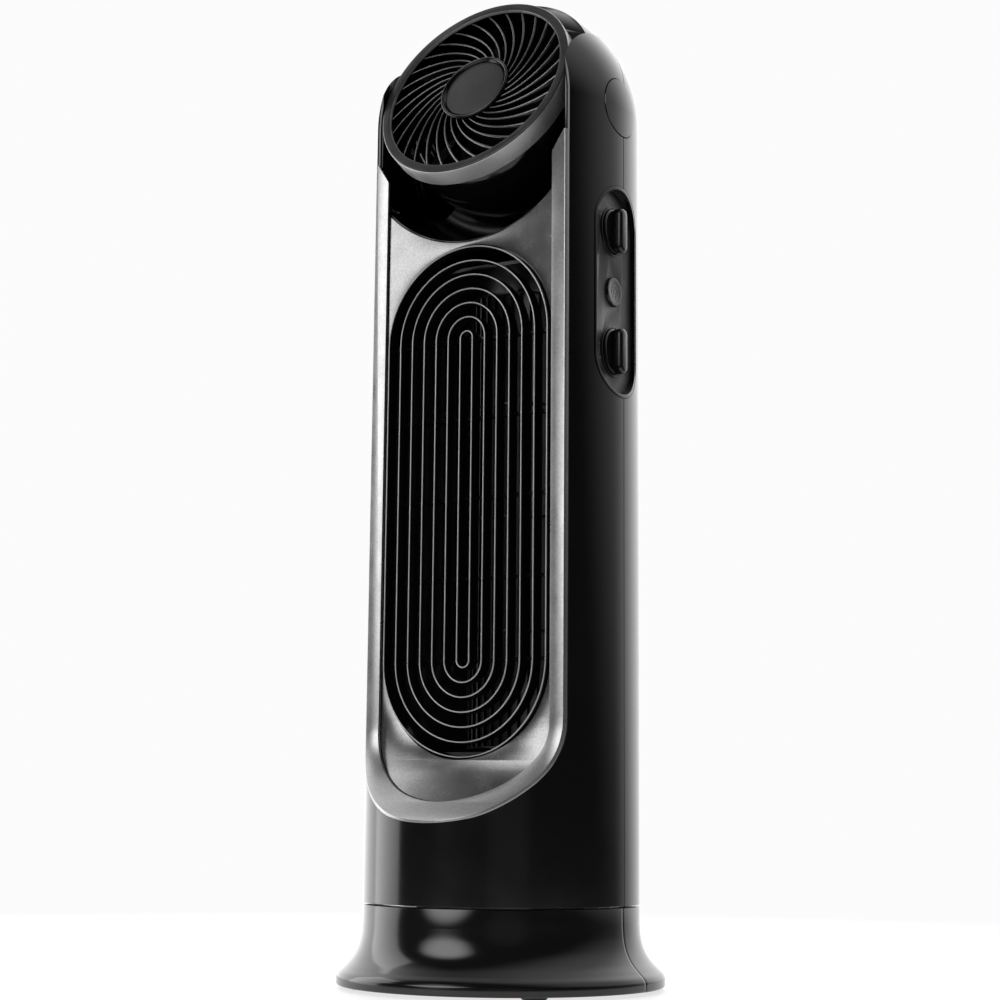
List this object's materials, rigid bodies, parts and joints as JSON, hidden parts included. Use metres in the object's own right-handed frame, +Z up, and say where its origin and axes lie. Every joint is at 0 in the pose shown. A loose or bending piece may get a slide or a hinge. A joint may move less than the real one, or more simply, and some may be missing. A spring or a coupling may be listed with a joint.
{
  "type": "tower fan",
  "caption": "Black tower fan on a round flared base, with a tilting round turbo head above a tall louvred outlet and rotary controls on its side.",
  "frame": {"origin": "centre of the base on the floor, under the tower's turning axis", "axes": "+Z up along the tower, -Y out of the front grille, +X out of the side with the control knobs"},
  "size_m": [0.2644, 0.2644, 0.8305],
  "materials": {
    "body_black": "glossy moulded black",
    "gloss_black": "high gloss black",
    "dark_plastic": "satin charcoal",
    "satin_grey": "satin metallic grey paint on plastic",
    "silver_trim": "satin silver paint on plastic",
    "steel": "plain steel",
    "rubber": "matte",
    "white_nylon": "natural nylon",
    "bearing_bronze": "sintered bronze",
    "board_green": "solder mask"
  },
  "bodies": {
    "base": {"base_front_half": "body_black", "base_rear_half": "body_black", "base_plate": "dark_plastic", "base_ballast": "steel", "ballast_screw_1": "steel", "ballast_screw_2": "steel", "ballast_screw_3": "steel", "rubber_foot_1": "rubber", "rubber_foot_2": "rubber", "rubber_foot_3": "rubber", "rubber_foot_4": "rubber", "cord_inlet": "rubber", "bearing_race": "steel", "osc_motor": "steel"},
    "osc_pinion": {"osc_pinion": "steel"},
    "tower": {"tower_floor": "dark_plastic", "osc_gear": "white_nylon", "front_housing": "body_black", "rear_housing": "body_black", "handle_cup": "dark_plastic", "front_trim": "silver_trim", "front_panel": "satin_grey", "ring_grille": "dark_plastic", "head_cradle": "gloss_black", "ear_liner_right": "gloss_black", "ear_liner_left": "gloss_black", "pivot_cap_right": "body_black", "pivot_cap_left": "body_black", "motor_shelf": "dark_plastic", "blower_motor": "steel", "air_duct": "dark_plastic", "wheel_bearing": "bearing_bronze", "control_panel": "gloss_black", "lower_switch": "dark_plastic", "upper_switch": "dark_plastic", "button_switch": "dark_plastic", "control_board": "board_green"},
    "blower_wheel": {"blower_wheel": "dark_plastic"},
    "lower_knob": {"lower_knob": "gloss_black"},
    "upper_knob": {"upper_knob": "gloss_black"},
    "swing_button": {"swing_button": "gloss_black"},
    "head": {"head_bezel": "satin_grey", "head_guard": "dark_plastic", "hub_cap": "dark_plastic", "head_bowl": "gloss_black", "head_hood": "body_black", "head_motor": "steel", "head_motor_mount": "dark_plastic"},
    "head_fan": {"head_fan": "dark_plastic"}
  },
  "joints": [
    {"name": "tower_swing", "type": "hinge", "parent": "base", "child": "tower", "pos_m": [0, 0, 0.05], "axis": [0, 0, 1], "range_deg": [-38, 38]},
    {"name": "pinion_turn", "type": "hinge", "parent": "base", "child": "osc_pinion", "pos_m": [0, 0.045, 0.044], "axis": [0, 0, 1], "range_deg": [-156, 156]},
    {"name": "blower_spin", "type": "hinge", "parent": "tower", "child": "blower_wheel", "pos_m": [0, 0.03, 0.36], "axis": [0, 0, 1], "continuous": true},
    {"name": "head_tilt", "type": "hinge", "parent": "tower", "child": "head", "pos_m": [0, 0, 0.72], "axis": [-1, 0, 0], "range_deg": [-22, 28]},
    {"name": "fan_spin", "type": "hinge", "parent": "head", "child": "head_fan", "pos_m": [0, 0, 0.72], "axis": [0, -0.9272, 0.3746], "continuous": true},
    {"name": "lower_knob_turn", "type": "hinge", "parent": "tower", "child": "lower_knob", "pos_m": [0.106, -0.002, 0.512], "axis": [-1, 0, 0], "range_deg": [0, 300]},
    {"name": "upper_knob_turn", "type": "hinge", "parent": "tower", "child": "upper_knob", "pos_m": [0.106, -0.002, 0.6134], "axis": [-1, 0, 0], "range_deg": [0, 135]},
    {"name": "button_press", "type": "slide", "parent": "tower", "child": "swing_button", "axis": [-1, 0, 0], "range_m": [0, 0.002], "stiffness_N_per_m": 400, "springref_m": -0.001}
  ],
  "couplings": [
    {"joint": "pinion_turn", "follows": "tower_swing", "ratio": -4}
  ]
}
